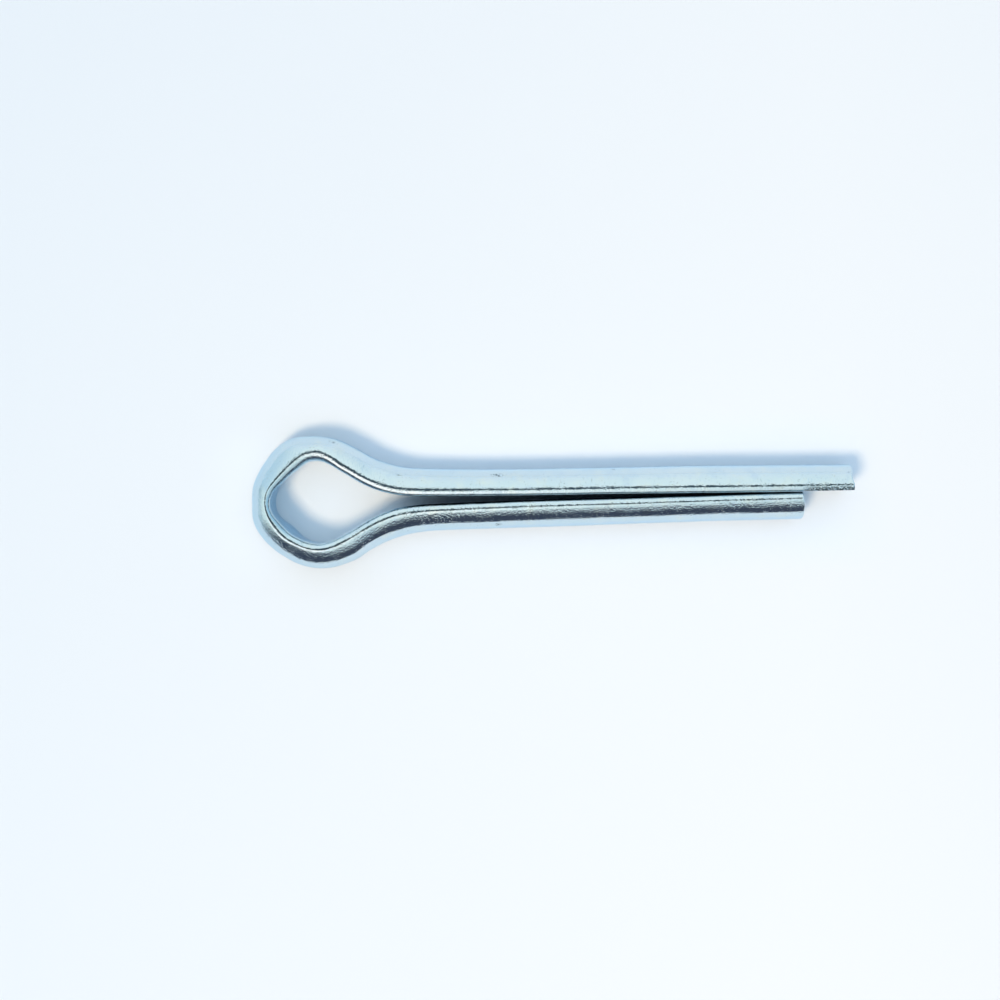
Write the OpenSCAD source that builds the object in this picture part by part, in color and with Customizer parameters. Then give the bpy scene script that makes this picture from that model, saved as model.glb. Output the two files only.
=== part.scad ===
// Split cotter pin, extended prong, square cut.
// One length of half-round wire, folded flat side in, lies on z = 0. The prongs point along +X,
// the eye is at -X, and y = 0 is the plane between the prongs.

/* [Wire] */
// diameter of the shank, which is the two half-round prongs held together
shank_d = 4.42; // [3.6:0.02:5.4]
// how much the radius of the wire's round side is more than half the shank
round_extra = 0.11; // [0:0.01:0.2]
// rounding of the wire's two edges, beside its flat side
edge_r = 0.57; // [0.35:0.01:0.75]

/* [Eye] */
// width over the outside of the eye
eye_w = 10.9; // [9.6:0.1:14]
// inside radius of the bend at the closed end
nose_r = 1.8; // [1:0.1:2.6]
// inside radius of the two bends at the sides
side_r = 2.6; // [1.4:0.1:3.4]
// mean angle of the long sides next to the closed end, in degrees from the shank
front_angle = 51; // [42:1:62]
// mean angle of the long sides next to the neck, in degrees from the shank
back_angle = 29; // [24:1:36]
// turn that each long side makes along its length, in degrees
side_bow = 3; // [1:0.5:8]
// radius of the wire's flat side where the eye runs into the prongs
neck_r = 12.6; // [6:0.2:16]

/* [Prongs] */
// straight length of the short prong, from the neck to its cut end
prong_l = 30.2; // [16:0.1:60]
// how far the long prong passes the short one
prong_step = 4; // [2:0.1:8]
// lean of each prong towards the other, in degrees
prong_lean = 0.35; // [0:0.05:0.45]
// gap between the prongs at the short one's cut end
tip_gap = 0.05; // [0.02:0.01:0.3]

/* [Hidden] */
$fn = 96;

shank_r = shank_d / 2;
round_r = shank_r + round_extra;
// height of the edge rounding's centre, where its circle touches the round side from inside
edge_y = sqrt(pow(round_r - edge_r, 2) - pow(round_extra + edge_r, 2));
// half the wire's width, which is half the pin's height as it lies
wire_half_w = edge_y + edge_r;
// least rise or fall of a long side, across the pin
min_rise = 0.05;

// headings of the wire where each long side starts and ends, in degrees from +X
lean = whole(prong_lean);
front_start = whole(front_angle + side_bow / 2);
front_end = whole(front_angle - side_bow / 2);
back_start = whole(side_bow / 2 - back_angle);
back_end = whole(-side_bow / 2 - back_angle);

// distances from y = 0 to the wire's flat side, at the sides of the eye and at the neck
side_y = eye_w / 2 - shank_r;
neck_y = tip_gap / 2 + prong_l * sin(lean);
// a bend's radius gives way where its neighbours leave it too little room
side_bend_r = min(side_r,
    (side_y - nose_r * cos(front_start) - min_rise) / (1 - cos(front_end)));
side_end_y = side_y - side_bend_r * (1 - cos(back_start));
neck_bend_r = min(neck_r, (side_end_y - neck_y - min_rise) / (cos(lean) - cos(back_end)));
// radii that bring the eye to its width and the neck to the prongs
front_r = (side_y - nose_r * cos(front_start) - side_bend_r * (1 - cos(front_end)))
    / (cos(front_end) - cos(front_start));
back_r = (side_end_y - neck_y - neck_bend_r * (cos(lean) - cos(back_end)))
    / (cos(back_start) - cos(back_end));

// lengths along X, from the nose bend's centre
neck_x = front_r * (sin(front_start) - sin(front_end)) - nose_r * sin(front_start)
    + side_bend_r * (sin(front_end) - sin(back_start))
    + back_r * (sin(back_start) - sin(back_end)) - neck_bend_r * (sin(lean) + sin(back_end));
long_prong_l = prong_l + prong_step / cos(lean);
long_end_x = neck_x + long_prong_l * cos(lean) + shank_r * sin(lean);
nose_end_x = -nose_r - shank_r;

module cotter_pin()
    color("#c9d8de")
    translate([-(nose_end_x + long_end_x) / 2, 0, wire_half_w]) {
        half_wire(long_prong_l);
        mirror([0, 1, 0]) half_wire(prong_l);
    }

// the wire from the middle of the nose bend to one cut end, on the +Y side
module half_wire(prong)
    turn(-lean)
    place(nose_r * [-cos(lean), -sin(lean)])
    bend(nose_r, 90 + lean, front_start + lean)
    bend(front_r, front_start + lean, front_end + lean)
    bend(side_bend_r, front_end + lean, back_start + lean)
    bend(back_r, back_start + lean, back_end + lean)
    bend_back(neck_bend_r, back_end + lean, 0)
    rotate([90, 0, 90])
    linear_extrude(prong)
        wire_section();

// Each bend starts on the wire's flat side at the origin and goes from one heading to the
// other, and its children go on from where it ends.

// clockwise, round the flat side
module bend(flat_r, from, to) {
    place(flat_r * [sin(from), -cos(from)])
        rotate_extrude(start = to + 90, angle = from - to)
        place([flat_r, 0])
            wire_section();
    place(flat_r * [sin(from) - sin(to), cos(to) - cos(from)]) children();
}

// anticlockwise, round the round side
module bend_back(flat_r, from, to) {
    place(flat_r * [-sin(from), cos(from)])
        rotate_extrude(start = from + 270, angle = to - from)
        place([flat_r, 0]) rotate(180)
            wire_section();
    place(flat_r * [sin(to) - sin(from), cos(from) - cos(to)]) children();
}

// half-round section: the flat side on x = 0, the round side towards +X
module wire_section() {
    reach = 2 * round_r / (round_r - edge_r);
    edge_x = round_extra + edge_r;
    translate([-round_extra, 0])
    intersection() {
        circle(round_r);
        polygon([
            [round_extra, edge_y], [edge_x, edge_y], [edge_x, edge_y] * reach,
            [reach * round_r, 0],
            [edge_x, -edge_y] * reach, [edge_x, -edge_y], [round_extra, -edge_y]
        ]);
    }
    for (side = [-1, 1])
        place([edge_r, side * edge_y]) circle(edge_r);
}

// A saved tree keeps six digits of each number, so what they leave of a move or a turn
// follows in one of its own, and the ends of neighbouring pieces stay together.
module place(move)
    translate([for (v = move) six_digits(v)])
    translate([for (v = move) v - six_digits(v)])
        children();

module turn(angle)
    rotate(angle)
    rotate(angle - atan2(six_digits(sin(angle)), six_digits(cos(angle))))
        children();

function six_digits(v) =
    v == 0 ? 0 : let (unit = pow(10, floor(ln(abs(v)) / ln(10)) - 5)) round(v / unit) * unit;

// an angle in whole thousandths of a degree, which six digits hold
function whole(angle) = round(angle * 1000) / 1000;

cotter_pin();
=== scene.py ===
import math
from types import SimpleNamespace

import bpy
import numpy as np
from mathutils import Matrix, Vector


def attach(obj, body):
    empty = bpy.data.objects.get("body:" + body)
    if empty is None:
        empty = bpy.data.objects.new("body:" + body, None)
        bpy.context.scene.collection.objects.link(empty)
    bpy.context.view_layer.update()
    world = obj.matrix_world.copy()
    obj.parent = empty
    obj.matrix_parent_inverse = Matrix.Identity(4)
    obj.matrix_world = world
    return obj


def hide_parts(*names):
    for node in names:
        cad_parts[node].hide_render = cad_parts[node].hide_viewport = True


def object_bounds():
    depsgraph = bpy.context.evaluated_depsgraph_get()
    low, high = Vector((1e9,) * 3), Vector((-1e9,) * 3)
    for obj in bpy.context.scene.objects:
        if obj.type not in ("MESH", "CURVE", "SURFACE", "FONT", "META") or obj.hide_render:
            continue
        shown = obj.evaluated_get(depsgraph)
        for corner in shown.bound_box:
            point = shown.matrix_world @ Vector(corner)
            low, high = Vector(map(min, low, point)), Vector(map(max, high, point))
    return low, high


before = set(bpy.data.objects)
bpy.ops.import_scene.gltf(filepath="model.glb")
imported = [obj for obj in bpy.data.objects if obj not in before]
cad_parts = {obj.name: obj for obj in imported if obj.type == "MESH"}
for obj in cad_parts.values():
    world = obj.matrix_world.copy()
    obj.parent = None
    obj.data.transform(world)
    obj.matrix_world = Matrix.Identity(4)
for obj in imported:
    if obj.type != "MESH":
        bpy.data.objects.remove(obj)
CAD_LOW, CAD_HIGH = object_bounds()
MM = 0.001

# Sizes in mm and degrees, the same values as in the part's source.
SHANK_R = 4.42 / 2
ROUND_R = SHANK_R + 0.11
EDGE_R = 0.57
EYE_W = 10.9
NOSE_R = 1.8
SIDE_R = 2.6
FRONT_ANGLE = 51
BACK_ANGLE = 29
SIDE_BOW = 3
NECK_R = 12.6
PRONG_L = 30.2
PRONG_STEP = 4
LEAN = 0.35
TIP_GAP = 0.05
EDGE_Y = math.sqrt((ROUND_R - EDGE_R) ** 2 - (ROUND_R - SHANK_R + EDGE_R) ** 2)
HALF_W = EDGE_Y + EDGE_R


# ---------------------------------------------------------------- the wire's path

def sind(a):
    return np.sin(np.radians(a))


def cosd(a):
    return np.cos(np.radians(a))


def headings():
    """Arc lengths from the nose, and the wire's heading at each, for one half of the pin."""
    side_y, neck_y = EYE_W / 2 - SHANK_R, TIP_GAP / 2 + PRONG_L * sind(LEAN)
    fs, fe = FRONT_ANGLE + SIDE_BOW / 2, FRONT_ANGLE - SIDE_BOW / 2
    bs, be = SIDE_BOW / 2 - BACK_ANGLE, -SIDE_BOW / 2 - BACK_ANGLE
    front_r = (side_y - NOSE_R * cosd(fs) - SIDE_R * (1 - cosd(fe))) / (cosd(fe) - cosd(fs))
    end_y = side_y - SIDE_R * (1 - cosd(bs))
    back_r = (end_y - neck_y - NECK_R * (cosd(LEAN) - cosd(be))) / (cosd(bs) - cosd(be))
    at, turn = [0.0], [90.0]
    for radius, to in ((NOSE_R, fs), (front_r, fe), (SIDE_R, bs), (back_r, be), (NECK_R, -LEAN)):
        at.append(at[-1] + radius * math.radians(abs(turn[-1] - to)))
        turn.append(to)
    return at, turn


STEP = 0.02          # spacing of the path's own samples
SOFTEN = 0.4         # how far one bend runs into the next


def wire_path():
    """Arc length, place and direction along the wire, from the long prong's tip to the short one's."""
    at, turn = headings()
    long_l = at[-1] + PRONG_L + PRONG_STEP / cosd(LEAN)
    short_l = at[-1] + PRONG_L
    pad = 4 * SOFTEN
    s = np.arange(-long_l - pad, short_l + pad, STEP)
    heading = np.interp(np.abs(s), at, turn)
    travel = np.where(s < 0, 180 + heading, 360 - heading)      # from the +Y prong round to the -Y one
    k = np.arange(-pad, pad + STEP / 2, STEP)
    kernel = np.exp(-0.5 * (k / SOFTEN) ** 2)
    travel = np.pad(travel, len(k) // 2, mode="edge")
    travel = np.convolve(travel, kernel / kernel.sum(), "valid")[:len(s)]
    d = np.stack([cosd(travel), sind(travel)], 1)
    p = np.cumsum(d, 0) * STEP
    p -= p[np.argmin(np.abs(s))]
    keep = (s >= -long_l) & (s <= short_l)
    return s[keep], p[keep], d[keep]


PATH_S, PATH_P, PATH_D = wire_path()
LONG_END, SHORT_END = PATH_S[0], PATH_S[-1]


def table(s, rows):
    """A smooth curve through (arc length, value) rows."""
    x, y = np.array(rows, float).T
    m = np.gradient(y, x)
    i = np.clip(np.searchsorted(x, s) - 1, 0, len(x) - 2)
    h = x[i + 1] - x[i]
    t = np.clip((s - x[i]) / h, 0, 1)
    return ((2 * t**3 - 3 * t**2 + 1) * y[i] + (t**3 - 2 * t**2 + t) * h * m[i]
            + (-2 * t**3 + 3 * t**2) * y[i + 1] + (t**3 - t**2) * h * m[i + 1])


# How the bent wire differs from its nominal form, by arc length from the nose, minus on the long
# prong's side: the flat side's place (mm outward), the depth from the flat side to the crown (mm),
# the section's twist (degrees, top edge outward), the rounding of its edges (mm) and how much squarer
# than a round they are.
FORM = [
    (-49.2, 0.00, 2.08, -3, 0.57, 0.5), (-44, 0.00, 2.14, -3, 0.57, 0.5), (-37, 0.01, 2.19, -2, 0.57, 0.5),
    (-26, 0.00, 2.20, 0, 0.57, 0.5), (-20.6, 0.01, 2.21, 0, 0.57, 0.5), (-16.6, 0.05, 2.25, 0, 0.57, 0.5),
    (-14, 0.05, 2.31, 0, 0.57, 0.5), (-12.1, -0.06, 2.34, 0, 0.57, 0.5),
    (-10.3, -0.11, 2.34, 0, 0.57, 0.4), (-8.8, -0.07, 2.25, 0, 0.57, 0.35),
    (-7.9, -0.03, 2.24, 0, 0.58, 0.35), (-6.9, 0.03, 2.19, 0, 0.60, 0.4),
    (-6.0, 0.11, 2.12, 0, 0.70, 0.3), (-5.2, 0.16, 2.08, 0, 0.80, 0.2), (-4.6, 0.19, 2.13, -2, 0.74, 0.1),
    (-3.9, 0.22, 2.33, -9, 0.66, 0), (-3.2, 0.24, 2.32, -11, 0.60, 0), (-2.4, 0.27, 2.22, -8, 0.57, 0),
    (-1.6, 0.32, 2.10, -6, 0.56, 0), (-0.8, 0.38, 1.90, -2, 0.52, 0), (0, 0.40, 1.68, 0, 0.48, 0),
    (0.7, 0.34, 1.92, 0, 0.46, 0), (1.3, 0.22, 2.08, 1, 0.52, 0), (2.0, 0.10, 2.16, 4, 0.55, 0),
    (2.7, 0.03, 2.13, 4, 0.57, 0), (3.4, -0.01, 2.05, 1, 0.57, 0), (4.1, -0.01, 2.06, 0, 0.57, 0),
    (5, 0.03, 2.09, 0, 0.57, 0), (6, 0.08, 2.16, 0, 0.57, 0), (7.2, 0.12, 2.27, 0, 0.57, 0),
    (8.2, 0.14, 2.17, 0, 0.57, 0), (9.2, 0.12, 2.19, 0, 0.57, 0), (10.5, 0.05, 2.25, 0, 0.57, 0),
    (12, 0.00, 2.30, 0, 0.57, 0), (14, 0.07, 2.22, 0, 0.57, 0), (16, 0.05, 2.20, 0, 0.57, 0),
    (20, 0.02, 2.22, -1, 0.57, 0), (30, 0.04, 2.16, -2, 0.57, 0), (37, 0.04, 2.13, -2, 0.57, 0),
    (45.2, 0.04, 2.18, -2, 0.57, 0)]
# By arc length, how far the round side's shoulders stand out past a circle (mm).
FULL = [(-3, 0), (0, 0), (2.2, 0.05), (3.6, 0.12), (6, 0.10), (9, 0.06), (14, 0.06), (20, 0.045),
        (45.2, 0.045)]

# ---------------------------------------------------------------- the wire's section

FLAT_N, EDGE_N, CROWN_N = 10, 14, 34
SECTION_N = FLAT_N + 2 * EDGE_N + CROWN_N
EDGE_TOP = 105       # direction in degrees at which a squarer edge turns from a wide round to a tight one


def edge_round(edge, square, meet):
    """How far along (inward, downward) each point of an edge lies from where it leaves the round side."""
    part = np.arange(EDGE_N + 1)[None] / EDGE_N
    angle = meet + (180 - meet) * part
    mid = (angle[:, 1:] + angle[:, :-1]) / 2
    more = square * (1 + cosd(EDGE_TOP)) / (cosd(meet) - cosd(EDGE_TOP))
    radius = edge * np.where(mid < EDGE_TOP, 1 + more, 1 - square)
    step = radius * np.radians(180 - meet) / EDGE_N
    inward, down = step * sind(mid), -step * cosd(mid)
    inward *= edge * (1 + cosd(meet)) / inward.sum(1, keepdims=True)
    return [np.concatenate([0 * edge, np.cumsum(v, 1)], 1) for v in (inward, down)]


def section(edge, square):
    """Points and outward normals (out, up) of half-round sections with these edge roundings."""
    edge, square = (np.asarray(v, float)[:, None] for v in (edge, square))
    over = ROUND_R - SHANK_R
    edge_y = np.sqrt((ROUND_R - edge) ** 2 - (over + edge) ** 2)
    meet = np.degrees(np.arctan2(edge_y, over + edge))
    flat, part, crown = (np.arange(n)[None] / n for n in (FLAT_N, EDGE_N, CROWN_N))
    angle = np.concatenate([180 + 0 * flat + 0 * edge, 180 + (180 - meet) * part,
                            -meet + 2 * meet * crown, meet + (180 - meet) * part], 1)
    nrm = np.stack([cosd(angle), sind(angle)], -1)
    pts = np.empty_like(nrm)
    a, b, c = FLAT_N, FLAT_N + EDGE_N, FLAT_N + EDGE_N + CROWN_N
    inward, down = edge_round(edge, square, meet)
    x, y = -over + ROUND_R * cosd(meet) - inward, ROUND_R * sind(meet) - down
    pts[:, :a, 0] = 0
    pts[:, :a, 1] = y[:, -1:] * (1 - 2 * flat)
    pts[:, a:b] = np.stack([x[:, :0:-1], -y[:, :0:-1]], -1)
    pts[:, b:c] = np.array([-over, 0]) + ROUND_R * nrm[:, b:c]
    pts[:, c:] = np.stack([x[:, :-1], y[:, :-1]], -1)
    pts[..., 1] *= HALF_W / pts[..., 1].max(1, keepdims=True)
    return pts, nrm


def girth():
    """Distance round the nominal section to each of its points, and all the way round."""
    pts = section([EDGE_R], [0])[0][0]
    return np.r_[0, np.cumsum(np.hypot(*(np.roll(pts, -1, 0) - pts).T))]


GIRTH = girth()
FLAT_END, CROWN_END, AROUND = GIRTH[FLAT_N], GIRTH[FLAT_N + EDGE_N + CROWN_N], GIRTH[-1]


def waves(s, g, seed, sizes, rows=9):
    """Smooth, repeatable unevenness between -1 and 1 over arc length s and girth g, both in mm."""
    rng = np.random.default_rng(seed)
    total = np.zeros(np.broadcast(s, g).shape)
    for size in sizes:
        for _ in range(rows):
            a = rng.uniform(0, 2 * math.pi)
            around = round(math.sin(a) * AROUND / size)          # whole waves, so that it closes
            total += np.sin(2 * math.pi * (s * math.cos(a) / size + g * around / AROUND)
                            + rng.uniform(0, 2 * math.pi))
    return total / (len(sizes) * rows) ** 0.5 / 2


# ---------------------------------------------------------------- the wire's tube

END_ROUND = 0.07      # rounding of the cut ends' rims
END_RINGS = 4
END_REACH = 1.2       # how far from a cut end its form is felt
CONTACT = 0.004       # how far each prong stays from the plane between them
PRONG_FROM = 9        # arc length from the nose past which that holds
PIVOT = 1.0           # depth in the section about which it twists
BROAD, FINE = 0.012, 0.0016      # heights of the surface's unevenness


def end_form(out, up, tip):
    """How far the cut end reaches past its nominal place at a point of the section, in mm."""
    top = np.clip((up - 0.9) / 1.0, 0, 1)
    if tip == "long":
        return 0.06 - 0.14 * top * np.clip((out - 0.6) / 0.4, 0, 1)
    return 0.02 - 0.11 * top * np.clip((0.9 - out) / 0.3, 0, 1) - 0.3 * np.clip(out - 2.0, 0, 1)


def rings():
    """Each ring's arc length, how far its points draw in, and how far they reach past it."""
    s = [*np.linspace(LONG_END + END_ROUND, -26, 170), *np.linspace(-25.85, 22, 430),
         *np.linspace(22.15, SHORT_END - END_ROUND, 180)]
    rows = [(v, 0.0, 0.0) for v in s]
    turns = np.radians(np.linspace(90 / END_RINGS, 90, END_RINGS))
    far = [(s[-1], END_ROUND * (1 - math.cos(a)), END_ROUND * math.sin(a)) for a in turns]
    near = [(s[0], inset, -reach) for _, inset, reach in far]
    return np.array(near[::-1] + rows + far).T


def bent_sections(s, inset):
    """How far out from the path and how high each ring's points lie, and how far along it they reach."""
    form = np.array(FORM)
    shift, depth, roll, edge, square = (table(s, form[:, [0, i]])[:, None] for i in (1, 2, 3, 4, 5))
    full = np.where(s > FULL[0][0], table(s, FULL), 0)
    points, normals = section(edge[:, 0], np.clip(square[:, 0], 0, 1))
    crown = np.arange(CROWN_N) / CROWN_N
    points[:, FLAT_N + EDGE_N:-EDGE_N, 0] += full[:, None] * np.sin(2 * math.pi * crown) ** 2
    g = GIRTH[:-1]
    uneven = (BROAD * waves(s[:, None], g[None], 3, (7, 4))
              + FINE * waves(s[:, None], g[None], 8, (1.7, 1.0), 14))
    fade = np.clip(1 - inset / END_ROUND, 0, 1)[:, None]
    points = points + normals * (uneven * fade - inset[:, None])[..., None]
    u, w = points[..., 0] * depth / SHANK_R, points[..., 1]
    roll = -np.radians(roll)
    out = shift + PIVOT + (u - PIVOT) * np.cos(roll) - w * np.sin(roll)
    up = (u - PIVOT) * np.sin(roll) + w * np.cos(roll)
    ends = np.zeros_like(u)
    for tip, side, end in (("long", -1, LONG_END), ("short", 1, SHORT_END)):
        near = np.clip(1 - np.abs(s - end) / END_REACH, 0, 1) ** 2
        ends += side * near[:, None] * end_form(u, w, tip)
    return out, up, ends


def tube():
    """Points of every ring in mm, the rings' arc lengths, and the path's direction at each."""
    s, inset, reach = rings()
    p, d = (np.stack([np.interp(s, PATH_S, v[:, i]) for i in (0, 1)], 1) for v in (PATH_P, PATH_D))
    d /= np.linalg.norm(d, axis=1)[:, None]
    outward = np.stack([d[:, 1], -d[:, 0]], 1)
    out, up, ends = bent_sections(s, inset)
    along = reach[:, None] + ends
    co = np.empty(out.shape + (3,))
    for i in (0, 1):
        co[..., i] = p[:, i, None] + outward[:, i, None] * out + d[:, i, None] * along
    # the pin lies on its edges along its whole length, and its prongs don't run into each other
    whole = inset == 0
    low, high = (np.interp(s, s[whole], v[whole])[:, None] for v in (up.min(1), up.max(1)))
    co[..., 2] = (up - (low + high) / 2) * (2 * HALF_W / (high - low))
    prong = (np.abs(s) > PRONG_FROM)[:, None]
    co[..., 1] = np.where(prong & (s < 0)[:, None], np.maximum(co[..., 1], CONTACT), co[..., 1])
    co[..., 1] = np.where(prong & (s > 0)[:, None], np.minimum(co[..., 1], -CONTACT), co[..., 1])
    return co, s, d


# ---------------------------------------------------------------- the cut faces and the mesh

CAP_RINGS = 9
CAP_CROWN = 0.05      # how far a cut face swells at its middle
CAP_ROUGH = 0.035     # height of its roughness
CAP_STEP = 0.2        # spacing of its rings in the UV map


def cap(rim, dirn, seed):
    """Rings of a rough, slightly swollen cut face inside a rim, and its middle point."""
    centre = rim.mean(0)
    across = rim - centre
    verts = []
    for r in range(1, CAP_RINGS + 1):
        f = 1 - r / (CAP_RINGS + 0.5)
        pts = centre + across * f
        rough = waves(pts[:, 2] * 2.1, across[:, 0] * 3 + GIRTH[:-1], seed, (1.1, 0.6), 8)
        swell = (CAP_ROUGH * rough * min(1, r / 2))[:, None] + CAP_CROWN * (1 - f * f)
        verts.append(pts + dirn * swell)
    return verts + [(centre + dirn * CAP_CROWN)[None]]


def build_wire():
    """Corners in mm, faces and their UVs in mm, and the number of corners that aren't on a cut face."""
    co, s, d = tube()
    n = SECTION_N
    pairs = [(j, (j + 1) % n) for j in range(n)]
    verts, faces, uvs = [co.reshape(-1, 3)], [], []
    for i in range(len(s) - 1):
        a, b = i * n, (i + 1) * n
        for j, k in pairs:
            faces.append((a + j, b + j, b + k, a + k))
            uvs.append(((s[i], GIRTH[j]), (s[i + 1], GIRTH[j]),
                        (s[i + 1], GIRTH[j + 1]), (s[i], GIRTH[j + 1])))
    on_side = base = len(s) * n
    for first, side in ((0, -1), (len(s) - 1, 1)):
        verts += cap(co[first], np.array([*d[first], 0.0]) * side, 21 + side)
        prev = first * n
        for r in range(1, CAP_RINGS + 1):
            for j, k in pairs:
                quad = (prev + j, prev + k, base + k, base + j)
                faces.append(quad if side < 0 else quad[::-1])
                uvs.append(((s[first] + side * r * CAP_STEP, GIRTH[j]),) * 4)
            prev, base = base, base + n
        for j, k in pairs:
            middle = (prev + j, prev + k, base)
            faces.append(middle if side < 0 else middle[::-1])
            uvs.append(((s[first], GIRTH[j]),) * 3)
        base += 1
    return np.concatenate(verts), faces, uvs, on_side


def seat(co):
    """Puts the wire where the CAD solid is: on its floor, with the nose's flat side at the same place."""
    low, high = np.array(CAD_LOW), np.array(CAD_HIGH)
    co = co * MM
    co[:, 0] += low[0] + SHANK_R * MM
    co[:, 1] += (low[1] + high[1]) / 2
    co[:, 2] = low[2] + (co[:, 2] - co[:, 2].min()) * ((high[2] - low[2]) / np.ptp(co[:, 2]))
    return co


UV_PER_MM = 0.01


def make_wire():
    co, faces, uvs, on_side = build_wire()
    mesh = bpy.data.meshes.new("cotter_pin_wire")
    mesh.from_pydata(seat(co).tolist(), [], faces)
    layer = mesh.uv_layers.new(name="wire")
    flat = np.array([corner for face in uvs for corner in face], np.float32)
    layer.data.foreach_set("uv", (flat * UV_PER_MM).ravel())
    cut = mesh.attributes.new("cut", "FLOAT", "POINT")
    cut.data.foreach_set("value", (np.arange(len(co)) >= on_side).astype(np.float32))
    mesh.polygons.foreach_set("use_smooth", np.ones(len(mesh.polygons), bool))
    mesh.update()
    obj = bpy.data.objects.new("cotter_pin_wire", mesh)
    bpy.context.scene.collection.objects.link(obj)
    return obj


# ---------------------------------------------------------------- shader nodes

class Nodes:
    """Short names for making and joining shader nodes."""

    def __init__(self, tree):
        self.tree = tree
        tree.nodes.clear()

    def join(self, socket, value):
        if isinstance(value, bpy.types.NodeSocket):
            self.tree.links.new(value, socket)
        else:
            socket.default_value = value

    def add(self, kind, inputs=None, **settings):
        node = self.tree.nodes.new(kind)
        for key, value in settings.items():
            setattr(node, key, value)
        for key, value in (inputs or {}).items():
            self.join(node.inputs[key], value)
        return node

    def math(self, operation, a, b=0.0, clamp=False):
        return self.add("ShaderNodeMath", {0: a, 1: b}, operation=operation, use_clamp=clamp).outputs[0]

    def fold(self, operation, first, *others):
        for other in others:
            first = self.math(operation, first, other)
        return first

    def times(self, *values):
        return self.fold("MULTIPLY", *values)

    def plus(self, *values):
        return self.fold("ADD", *values)

    def most(self, *values):
        return self.fold("MAXIMUM", *values)

    def minus(self, a, b):
        return self.math("SUBTRACT", a, b)

    def size(self, value):
        return self.math("ABSOLUTE", value)

    def remap(self, value, a, b, c=0.0, d=1.0, kind="LINEAR"):
        ends = {"Value": value, "From Min": a, "From Max": b, "To Min": c, "To Max": d}
        return self.add("ShaderNodeMapRange", ends, clamp=True, interpolation_type=kind).outputs["Result"]

    def ease(self, value, a, b):
        return self.remap(value, a, b, kind="SMOOTHSTEP")

    def mix(self, factor, a, b):
        node = self.add("ShaderNodeMix", {"Factor": factor}, data_type="RGBA")
        self.join(node.inputs[6], a)
        self.join(node.inputs[7], b)
        return node.outputs[2]

    def scaled(self, vector, xyz):
        return self.add("ShaderNodeVectorMath", {0: vector, 1: xyz}, operation="MULTIPLY").outputs[0]

    def split(self, vector):
        return self.add("ShaderNodeSeparateXYZ", {0: vector}).outputs

    def object_place(self):
        return self.add("ShaderNodeTexCoord").outputs["Object"]

    def noise(self, vector, scale, detail=2.0, rough=0.5):
        inputs = {"Vector": vector, "Scale": scale, "Detail": detail, "Roughness": rough}
        return self.add("ShaderNodeTexNoise", inputs).outputs["Fac"]

    def camera_or_gloss(self):
        """1 for what the camera sees directly or in the metal, 0 for the light on matt surfaces."""
        path = self.add("ShaderNodeLightPath")
        return self.most(path.outputs["Is Camera Ray"], path.outputs["Is Glossy Ray"])

    def surface(self, shader, output="ShaderNodeOutputMaterial"):
        self.add(output, {"Surface": shader.outputs[0]})


def new_material(name):
    mat = bpy.data.materials.new(name)
    mat.use_nodes = True
    return mat, Nodes(mat.node_tree)


# ---------------------------------------------------------------- the zinc plate

# Small marks on the wire: arc length and girth (mm), their half sizes (mm), and how dark they are.
MARKS = [(-20.3, 8.66, 0.62, 0.30, 1.0), (-29.8, 8.05, 0.20, 0.22, 0.8), (-28.0, 9.40, 0.10, 0.20, 0.5),
         (20.3, 8.34, 0.34, 0.30, 0.9), (-44.7, 9.60, 0.16, 0.10, 0.8), (-48.8, 8.82, 0.10, 0.10, 1.0),
         (-5.9, 8.50, 0.34, 0.26, 0.7), (-12.0, 8.9, 0.5, 0.10, 0.6), (9.0, 7.3, 0.5, 0.2, 0.5)]
ZINC, ZINC_PALE = (0.62, 0.765, 0.85, 1), (0.66, 0.785, 0.855, 1)
# the warm and cool colours vary the plate's tone at random; the nose colour is painted shade, darker and
# bluer for the dim surroundings that the nose's crown reflects
ZINC_WARM, ZINC_COOL, ZINC_NOSE_SHADE = (0.72, 0.80, 0.76, 1), (0.57, 0.71, 0.84, 1), (0.54, 0.72, 0.82, 1)
# the dark colour is for the real pits and marks and for the painted shade along the long prong's edge past
# the short one; the near-black colour is painted shade on the flats between the prongs
ZINC_DARK, ZINC_GAP_SHADE = (0.12, 0.16, 0.18, 1), (0.03, 0.05, 0.07, 1)
ZINC_EDGE_ON = (0.74, 0.86, 0.95, 1)
SHORT_TIP = -44.9     # arc length on the long prong that lies beside the short one's cut end


def wire_fields(n):
    """Where a point is on the wire, and the patterns that its look is made of."""
    mm = n.scaled(n.object_place(), (1000, 1000, 1000))
    uv = n.add("ShaderNodeUVMap", uv_map="wire").outputs["UV"]
    along = n.scaled(uv, (1 / UV_PER_MM,) * 3)
    s, g, _ = n.split(along)
    w = SimpleNamespace(mm=mm, along=along, s=s, g=g, from_nose=n.size(s))
    w.cut = n.add("ShaderNodeAttribute", attribute_name="cut").outputs["Fac"]
    w.tint = n.noise(mm, 0.9, 3)
    w.drawn = n.noise(n.scaled(along, (0.35, 7, 1)), 1, 3, 0.6)
    w.grain = n.noise(mm, 6.5, 1.5, 0.5)
    w.worn = n.remap(n.noise(mm, 0.8, 4, 0.6), 0.40, 0.62)
    # dark: the real pits and marks, and the painted shade along the long prong's edge past the short one
    w.dark = n.most(n.times(pits(n, w), 0.5), n.most(marks(n, w), painted_tip_shade(n, w)))
    # painted shade: the flats between the prongs, painted near black for the shade in the slit
    w.facing = facing(n, w)
    return w


def pits(n, w):
    specks = n.add("ShaderNodeTexVoronoi", {"Vector": w.mm, "Scale": 4.5}).outputs["Distance"]
    return n.times(n.remap(specks, 0.08, 0.2, 1, 0), w.worn)


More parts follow.
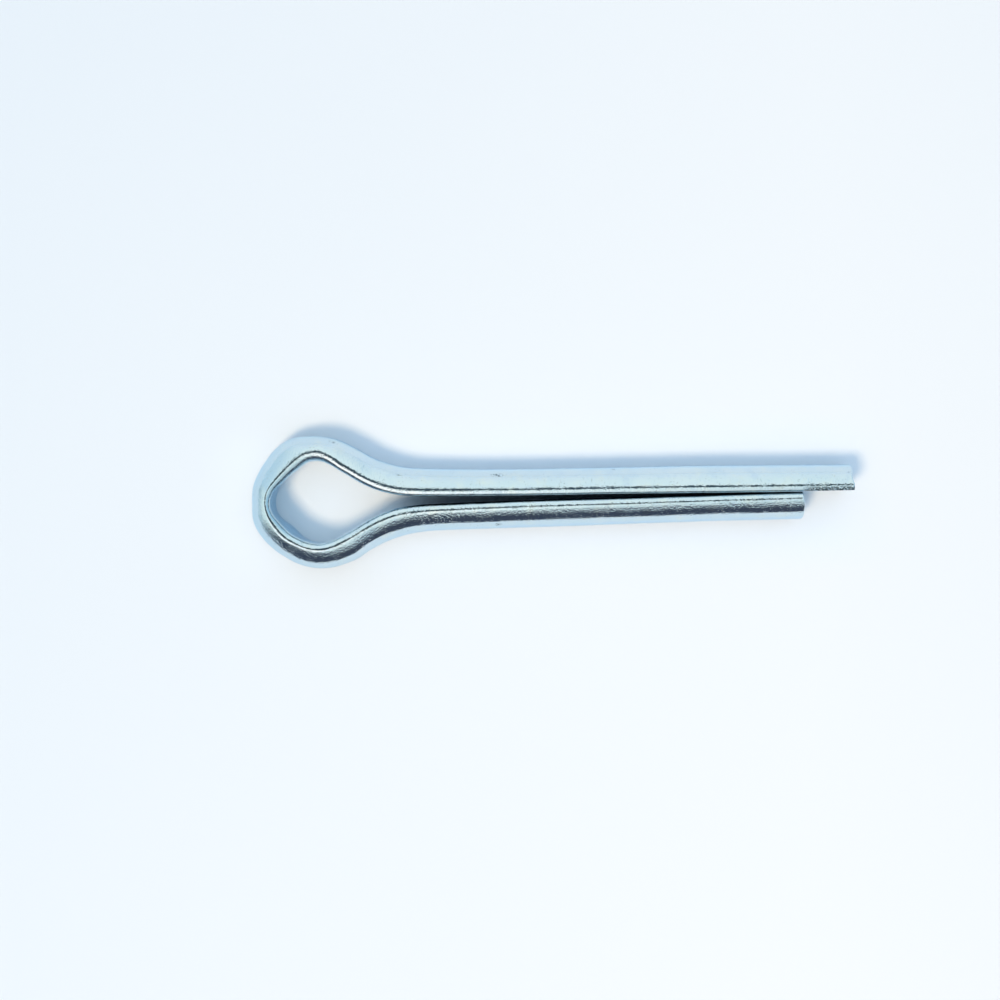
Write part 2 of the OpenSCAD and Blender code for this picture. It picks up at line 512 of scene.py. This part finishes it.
def marks(n, w):
    scratch = n.remap(n.noise(n.scaled(w.along, (1.0, 1.6, 1)), 5.5, 2, 0.6), 0.50, 0.60)
    total = 0.0
    for at, girth_at, half_s, half_g, dark in MARKS:
        ds = n.math("DIVIDE", n.minus(w.s, at), half_s)
        dg = n.math("DIVIDE", n.minus(w.g, girth_at), half_g)
        far = n.plus(n.times(ds, ds), n.times(dg, dg))
        total = n.most(total, n.remap(far, 1.0, 0.3, 0, dark))
    return n.times(total, scratch)


def painted_tip_shade(n, w):
    """Painted shade: a dark, speckled band along the long prong's inner edge past the short one, a painted
    dark reflection.
    """
    tip = n.times(n.remap(w.s, SHORT_TIP, SHORT_TIP - 0.9),
                  n.remap(w.g, CROWN_END + 0.18, CROWN_END + 0.32))
    speckled = n.most(n.remap(w.grain, 0.62, 0.50),
                      n.remap(w.g, CROWN_END + 0.60, CROWN_END + 0.80, 0, 0.9))
    return n.times(tip, n.minus(1.0, w.cut), speckled)


def facing(n, w):
    """Painted shade: the flats that face each other between the prongs, painted near black for the shade in
    the slit between them.
    """
    flat = n.most(n.remap(w.g, FLAT_END + 0.5, FLAT_END), n.remap(w.g, AROUND - 0.35, AROUND))
    flat = n.times(flat, n.remap(w.from_nose, 11.0, 15.5), n.minus(1.0, w.cut))
    return n.times(flat, n.remap(w.s, SHORT_TIP - 1.1, SHORT_TIP + 0.3))


def zinc_colour(n, w):
    colour = n.mix(n.remap(n.noise(w.mm, 0.45, 2), 0.35, 0.65), ZINC, ZINC_PALE)
    colour = n.mix(n.remap(w.tint, 0.54, 0.75, 0, 0.4), colour, ZINC_WARM)
    colour = n.mix(n.remap(w.tint, 0.42, 0.28, 0, 0.5), colour, ZINC_COOL)
    # painted shade: the metal round the nose is painted darker and bluer, for the dim surroundings that its
    # crown reflects
    colour = n.mix(n.remap(w.from_nose, 5.5, 1.5, 0, 0.6), colour, ZINC_NOSE_SHADE)
    # the real pits and marks, and the painted shade along the long prong's edge past the short one
    colour = n.mix(w.dark, colour, ZINC_DARK)
    # painted shade: the flats between the prongs are painted near black
    return n.mix(w.facing, colour, ZINC_GAP_SHADE)


def zinc_roughness(n, w):
    inner = n.times(n.remap(w.g, CROWN_END + 0.5, CROWN_END + 0.8), n.remap(w.s, -13, -18))
    return n.plus(n.remap(w.grain, 0.3, 0.7, 0.05, 0.09), n.remap(w.drawn, 0.5, 0.8, 0.0, 0.05),
                  n.times(w.cut, 0.22), n.times(w.dark, 0.2), n.times(w.facing, 0.25), n.times(inner, 0.15))


def zinc_height(n, w):
    """Height of the fine relief, in mm. The sides and the edges are smoother than the crown's top."""
    aside = n.size(n.minus(w.g, (FLAT_END + AROUND) / 2))
    lively = n.times(n.remap(w.worn, 0, 1, 0.6, 1.4), n.remap(aside, 1.8, 2.3, 0.3, 1.2),
                     n.remap(aside, 2.6, 2.85, 1.0, 0.5), n.remap(aside, 3.6, 4.0, 1.0, 0.5))
    height = n.plus(n.times(n.minus(w.grain, 0.5), 0.026, lively),
                    n.times(n.minus(n.noise(w.mm, 11, 1, 0.4), 0.5), 0.009, lively),
                    n.times(n.minus(w.drawn, 0.5), 0.007))
    height = n.minus(height, n.times(w.dark, 0.015))
    return n.plus(height, n.times(w.cut, n.noise(w.mm, 3, 4), 0.10))


def zinc():
    mat, n = new_material("zinc_plated_wire")
    w = wire_fields(n)
    relief = {"Strength": 1.0, "Distance": MM, "Height": zinc_height(n, w)}
    bump = n.add("ShaderNodeBump", relief).outputs["Normal"]
    n.surface(n.add("ShaderNodeBsdfPrincipled", {
        "Base Color": zinc_colour(n, w), "Metallic": 1.0, "Roughness": zinc_roughness(n, w),
        "Specular Tint": ZINC_EDGE_ON, "Normal": bump}))
    return mat


# ---------------------------------------------------------------- the studio

STUDIO_R = 0.6
FLOOR_HALF = 3
LEAN_TO_LEFT = math.radians(23)       # the dark and white cards face the pin from -Y, turned a little to -X
HORIZON, SKY = (0.88, 0.95, 1.0, 1), (0.96, 1.03, 1.0, 1)
LEFT, RIGHT = (0.70, 0.84, 0.92, 1), (0.46, 0.66, 0.80, 1)
LOW_LEFT = (0.50, 0.62, 0.68, 1)
WHITE, DULL, DARK = (0.96, 1.02, 0.96, 1), (0.62, 0.72, 0.76, 1), (0.06, 0.07, 0.10, 1)
BRIGHT = (1.50, 1.32, 1.22, 1)
OVERHEAD = (0.06, 0.085, 0.10, 1)
# painted shade: the floor is painted darker to the left (-X) than to the right
FLOOR_LEFT, FLOOR_RIGHT = (0.845, 0.85, 0.84, 1), (0.975, 0.93, 0.875, 1)
# painted light: the floor within a few mm of the pin is painted bluer, for the bluish light in its shadow and
# inside its eye
FLOOR_NEAR_PAINTED_LIGHT = (0.945, 0.955, 0.965, 1)
# the light on matt surfaces: low and high in the sky, and from the plane between the prongs
FILL_LOW, FILL_HIGH = (0.056, 0.078, 0.10, 1), (0.888, 1.22, 1.62, 1)
FILL_OVERHEAD = (0.03, 0.07, 0.12, 1)
# the key light: its angle from straight up and its direction, distance, size, power and colour
KEY_AT = math.radians(27), math.radians(-132)
KEY_WAY = np.array([math.sin(KEY_AT[0]) * math.cos(KEY_AT[1]), math.sin(KEY_AT[0]) * math.sin(KEY_AT[1]),
                    math.cos(KEY_AT[0])])
KEY_FAR, KEY_SIZE, KEY_POWER, KEY_COLOUR = 0.5, 0.12, 1.28, (1.0, 0.80, 0.54)


def floor_material():
    mat, n = new_material("pale_floor")
    place = n.object_place()
    x, y, _ = n.split(place)
    # painted shade: darker towards -X, with a random cloud of tone
    cloud = n.math("ADD", n.remap(x, -0.045, 0.03), n.times(n.noise(place, 14, 2), 0.2), True)
    colour = n.mix(cloud, FLOOR_LEFT, FLOOR_RIGHT)
    # painted light: bluer floor within a few mm of the pin, for the bluish light in its shadow and inside its
    # eye
    near = n.times(n.ease(n.size(y), 0.0075, 0.003), n.ease(n.size(x), 0.030, 0.022), 0.85)
    colour = n.mix(near, colour, FLOOR_NEAR_PAINTED_LIGHT)
    floor = n.add("ShaderNodeBsdfPrincipled",
                  {"Base Color": colour, "Roughness": 0.7, "Specular IOR Level": 0.15})
    # far away the floor turns into the backdrop, with no horizon
    far = n.add("ShaderNodeVectorMath", {0: place}, operation="LENGTH").outputs["Value"]
    backdrop = n.add("ShaderNodeEmission", {"Color": HORIZON, "Strength": 1.0})
    share = n.times(n.camera_or_gloss(), n.ease(far, 0.07, 0.35))
    n.surface(n.add("ShaderNodeMixShader", {0: share, 1: floor.outputs[0], 2: backdrop.outputs[0]}))
    return mat


def region(x, y, z):
    """Which studio card hangs in a direction over the pin, if any."""
    def tilt(across):
        return math.degrees(math.atan2(across, z))

    low, high = (-2, 19) if x > -0.08 * z else (-7, 26)
    if low < tilt(y) < high and abs(x) < 0.4 * z:
        return "overhead_card"
    if tilt(y * math.cos(LEAN_TO_LEFT) + x * math.sin(LEAN_TO_LEFT)) < -6:
        return "front_card"
    if x > 0.3:
        return "right_card"
    return "left_card" if x < -0.35 else None


def sky(n, z):
    return n.mix(n.remap(z, 0.05, 0.5), HORIZON, SKY)


def front_colour(n, place):
    """Dark low down and white above, duller to the right and low at the left, and bright at the key light."""
    x, y, z = n.split(place)
    front = n.plus(n.times(y, math.cos(LEAN_TO_LEFT)), n.times(x, math.sin(LEAN_TO_LEFT)))
    white = n.mix(n.ease(x, 0.05, 0.4), WHITE, DULL)
    to_key = n.add("ShaderNodeVectorMath", {0: place, 1: tuple(KEY_WAY)}, operation="DOT_PRODUCT")
    white = n.mix(n.ease(to_key.outputs["Value"], 0.93, 0.99), white, BRIGHT)
    down = n.math("ARCTAN2", front, z)
    colour = n.mix(n.ease(down, math.radians(-58), math.radians(-33)), DARK, white)
    left = n.mix(n.remap(z, 0.12, 0.42), LOW_LEFT, white)
    side = n.math("ARCTAN2", n.times(x, -1), n.times(y, -1))
    return n.mix(n.ease(side, math.radians(48), math.radians(76)), colour, left)


def card_material(name):
    mat, n = new_material(name)
    place = n.scaled(n.object_place(), (1 / STUDIO_R,) * 3)
    x, _, z = n.split(place)
    if name == "overhead_card":
        colour = OVERHEAD
    elif name == "right_card":
        colour = n.mix(n.ease(x, 0.3, 0.7), sky(n, z), RIGHT)
    elif name == "left_card":
        colour = n.mix(n.ease(x, -0.35, -0.75), sky(n, z), LEFT)
    else:
        colour = front_colour(n, place)
    n.surface(n.add("ShaderNodeEmission", {"Color": colour, "Strength": 1.0}))
    return mat


def new_object(name, verts, faces, material):
    mesh = bpy.data.meshes.new(name)
    mesh.from_pydata(verts, [], faces)
    mesh.materials.append(material)
    obj = bpy.data.objects.new(name, mesh)
    bpy.context.scene.collection.objects.link(obj)
    return obj


def way(zen, azi):
    return math.sin(zen) * math.cos(azi), math.sin(zen) * math.sin(azi), math.cos(zen)


def card(name, steps=90):
    """A curved studio card: its part of a dome over the pin. Only reflections show it."""
    zen = np.radians(np.linspace(0, 89.5, steps + 1))
    azi = np.radians(np.linspace(0, 360, 2 * steps + 1))
    verts, faces, index = [], [], {}

    def vert(i, j):
        j %= 2 * steps
        if (i, j) not in index:
            index[i, j] = len(verts)
            verts.append(tuple(STUDIO_R * v for v in way(zen[i], azi[j])))
        return index[i, j]

    for i in range(steps):
        for j in range(2 * steps):
            if region(*way((zen[i] + zen[i + 1]) / 2, (azi[j] + azi[j + 1]) / 2)) == name:
                faces.append((vert(i, j), vert(i, j + 1), vert(i + 1, j + 1), vert(i + 1, j)))
    obj = new_object(name, verts, faces, card_material(name))
    obj.visible_camera = obj.visible_diffuse = obj.visible_shadow = False


def backdrop():
    world = bpy.data.worlds.new("studio")
    bpy.context.scene.world = world
    world.use_nodes = True
    n = Nodes(world.node_tree)
    _, y, z = n.split(n.add("ShaderNodeTexCoord").outputs["Generated"])
    fill = n.mix(n.remap(z, 0.2, 1.0), FILL_LOW, FILL_HIGH)
    # little light falls straight down between the prongs
    fill = n.mix(n.ease(n.size(y), 0.03, 0.09), FILL_OVERHEAD, fill)
    colour = n.mix(n.camera_or_gloss(), fill, sky(n, z))
    n.surface(n.add("ShaderNodeBackground", {"Color": colour, "Strength": 1.0}), "ShaderNodeOutputWorld")


def key_light():
    lamp = bpy.data.lights.new("key", "AREA")
    lamp.shape = "DISK"
    lamp.size = KEY_SIZE
    lamp.energy = KEY_POWER
    lamp.color = KEY_COLOUR
    key = bpy.data.objects.new("key", lamp)
    bpy.context.scene.collection.objects.link(key)
    key.visible_glossy = False           # the front card's bright spot shows in the metal in its place
    key.location = KEY_WAY * KEY_FAR
    key.rotation_euler = (0, *KEY_AT)


def studio():
    h = FLOOR_HALF
    corners = [(-h, -h, 0), (h, -h, 0), (h, h, 0), (-h, h, 0)]
    floor = new_object("floor", corners, [(0, 1, 2, 3)], floor_material())
    for name in ("overhead_card", "front_card", "right_card", "left_card"):
        card(name)
    backdrop()
    key_light()


# Where the camera is from the middle of the part's box and above its floor, in metres.
CAMERA_AT = (-0.004098, -0.000104, 0.1312)
CAMERA_TURN = -1.39


def camera():
    cam = bpy.data.cameras.new("camera")
    cam.sensor_width = 36
    cam.lens = 56.6
    cam.clip_start = 0.005
    cam.clip_end = 10
    obj = bpy.data.objects.new("camera", cam)
    bpy.context.scene.collection.objects.link(obj)
    mid_x, mid_y = ((CAD_LOW[i] + CAD_HIGH[i]) / 2 for i in (0, 1))
    obj.location = (mid_x + CAMERA_AT[0], mid_y + CAMERA_AT[1], CAD_LOW[2] + CAMERA_AT[2])
    obj.rotation_euler = (0, 0, math.radians(CAMERA_TURN))
    bpy.context.scene.camera = obj


camera()
wire = make_wire()
metal = zinc()
wire.data.materials.append(metal)
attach(wire, "root")
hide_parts("cotter_pin")
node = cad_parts["cotter_pin"]
for slot in node.material_slots:
    slot.material = metal
studio()
bpy.context.scene.view_settings.view_transform = "Standard"
